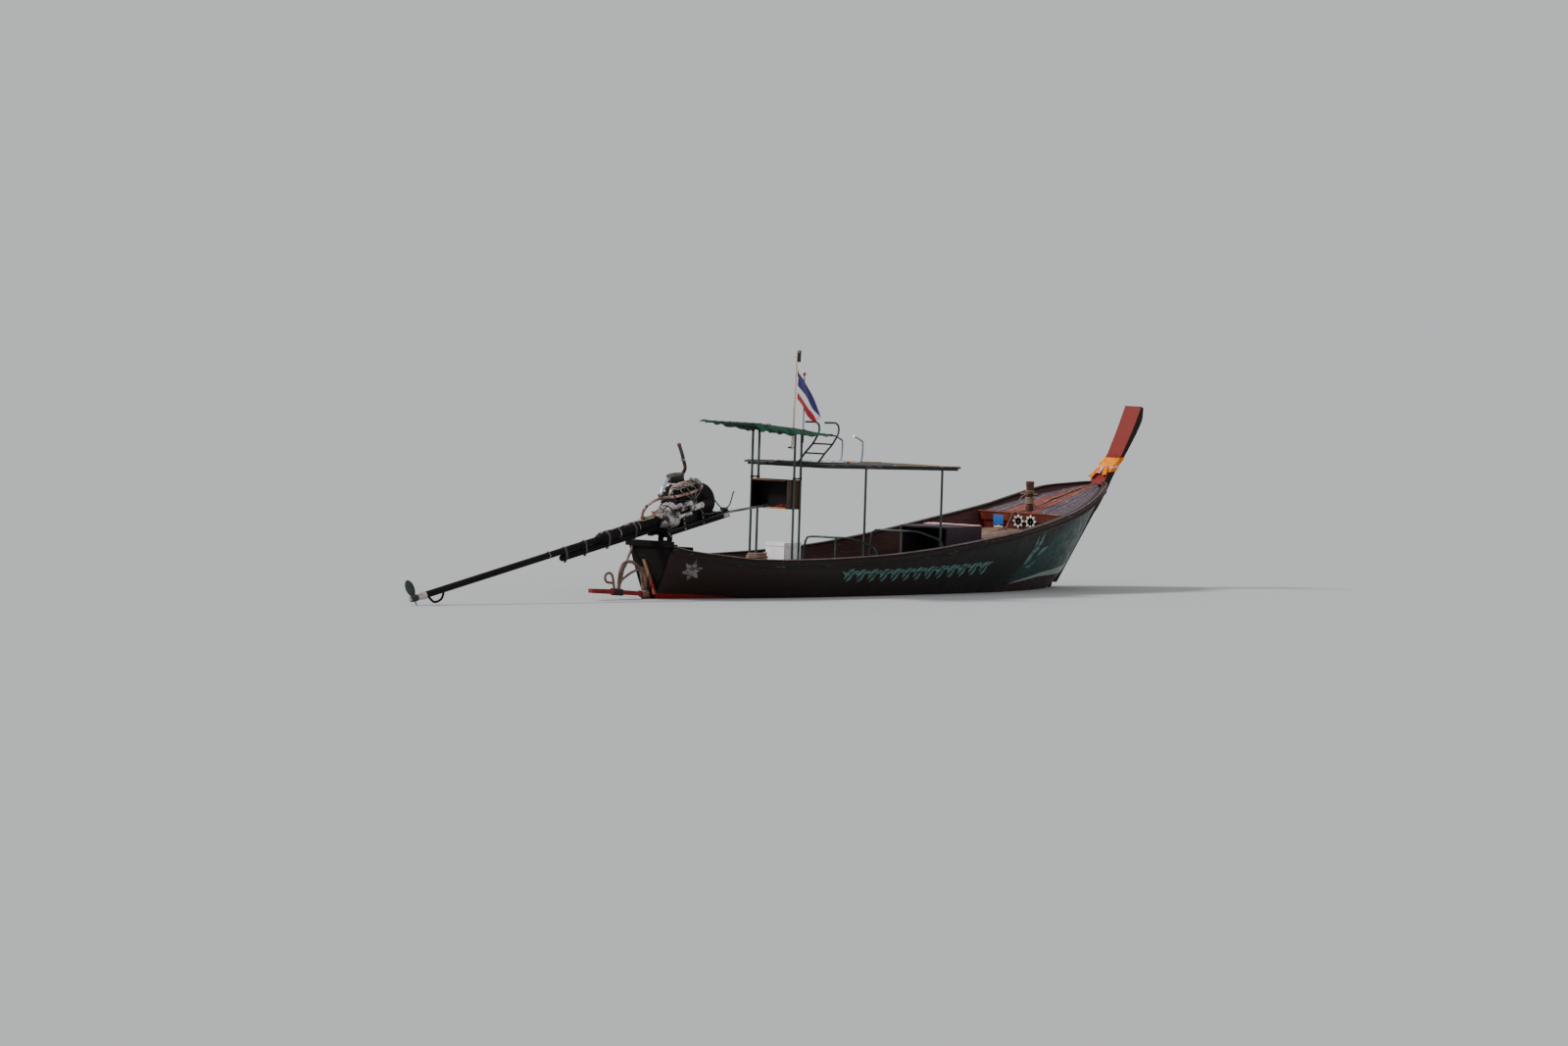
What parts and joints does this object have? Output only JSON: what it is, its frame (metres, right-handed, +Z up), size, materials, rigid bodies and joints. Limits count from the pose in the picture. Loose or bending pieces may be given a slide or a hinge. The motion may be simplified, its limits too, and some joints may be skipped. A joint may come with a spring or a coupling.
{
  "type": "longtail boat",
  "caption": "Open wooden longtail boat with a tall stem post, two canopies, and an engine on a swivel that drives a propeller through a long tube",
  "frame": {"origin": "on the centreline, halfway along the hull, at the water's surface", "axes": "+X to the bow, +Y to port, +Z up"},
  "size_m": [16.8024, 2.328, 4.1012],
  "materials": {
    "hull_paint": "dark gloss paint over planking, worn matt",
    "keel_paint": "red bottom paint, chalky",
    "rail_wood": "dark red-brown varnish, weathered",
    "inner_wood": "dark oiled wood, dull",
    "board_wood": "bare worn boards",
    "red_wood": "red-brown painted wood",
    "deck_wood": "faded red-pink painted planks",
    "stem_wood": "red painted stem, satin",
    "box_wood": "grey-purple painted boards",
    "mat_cloth": "faded pink mat",
    "pad_cover": "dark vinyl cover",
    "cooler_plastic": "white moulded plastic, scuffed",
    "grey_tube": "grey-green painted tube",
    "canopy_cloth": "green sheet",
    "roof_board": "dark painted board with pale edges",
    "ladder_chrome": "polished stainless tube",
    "ladder_green": "dark green painted tube",
    "pole_paint": "cream paint",
    "signal_red": "red paint",
    "flag_cloth": "striped cloth",
    "garland_cloth": "orange-yellow cloth",
    "brace_wood": "tan wood with a red foot",
    "rope": "thick brown rope",
    "dark_steel": "black paint, oily and rust-stained",
    "engine_iron": "dark painted iron, oily",
    "alloy": "dull cast alloy",
    "rusty_pipe": "rusty copper-brown pipe",
    "tiller_steel": "bare steel tube",
    "prop_bronze": "dark green-black cast blades"
  },
  "bodies": {
    "hull": {"hull_bottom": "hull_paint", "hull_side_port": "hull_paint", "hull_side_starboard": "hull_paint", "transom": "hull_paint", "keel": "keel_paint", "stem_post": "stem_wood", "gunwale_port": "rail_wood", "gunwale_starboard": "rail_wood", "hull_frames": "inner_wood", "floorboards": "inner_wood", "aft_deck": "inner_wood", "well_deck": "board_wood", "foredeck": "deck_wood", "stern_deck": "hull_paint", "bulkhead": "red_wood", "bench_aft": "board_wood", "bench_middle": "board_wood", "bench_forward": "board_wood", "pad_aft": "pad_cover", "pad_middle": "pad_cover", "backrest_aft": "grey_tube", "backrest_forward": "grey_tube", "platform_box": "box_wood", "platform_mat": "mat_cloth", "cool_box": "cooler_plastic", "mooring_post": "inner_wood", "garland": "garland_cloth", "stern_beam": "hull_paint", "stern_board": "brace_wood", "stern_hoops": "rope", "helm_frame": "grey_tube", "helm_canopy": "canopy_cloth", "cabinet": "board_wood", "roof": "roof_board", "roof_frame": "grey_tube", "ladder_chrome": "ladder_chrome", "ladder_green": "ladder_green", "flagpole": "pole_paint", "signal_rod": "signal_red", "flag": "flag_cloth", "swivel_seat": "dark_steel"},
    "swivel": {"swivel_yoke": "dark_steel"},
    "tail": {"cradle": "dark_steel", "shaft_tube": "dark_steel", "end_bearing": "alloy", "engine_block": "engine_iron", "engine_head": "engine_iron", "flywheel_housing": "alloy", "front_pulleys": "dark_steel", "fan_cowl": "dark_steel", "alternator": "alloy", "air_filter": "engine_iron", "exhaust": "rusty_pipe", "coolant_pipe": "rusty_pipe", "tiller": "tiller_steel", "levers": "dark_steel"},
    "screw": {"propeller": "prop_bronze"}
  },
  "joints": [
    {"name": "steer", "type": "hinge", "parent": "hull", "child": "swivel", "pos_m": [-5.56, 0, 0.93], "axis": [0, 0, 1], "range_deg": [-35, 35]},
    {"name": "tilt", "type": "hinge", "parent": "swivel", "child": "tail", "pos_m": [-5.56, 0, 0.93], "axis": [0, 1, 0], "range_deg": [-4, 12]},
    {"name": "spin", "type": "hinge", "parent": "tail", "child": "screw", "pos_m": [-10.99256, 0, 0.09941], "axis": [0.9806, 0, 0.1959], "continuous": true}
  ]
}
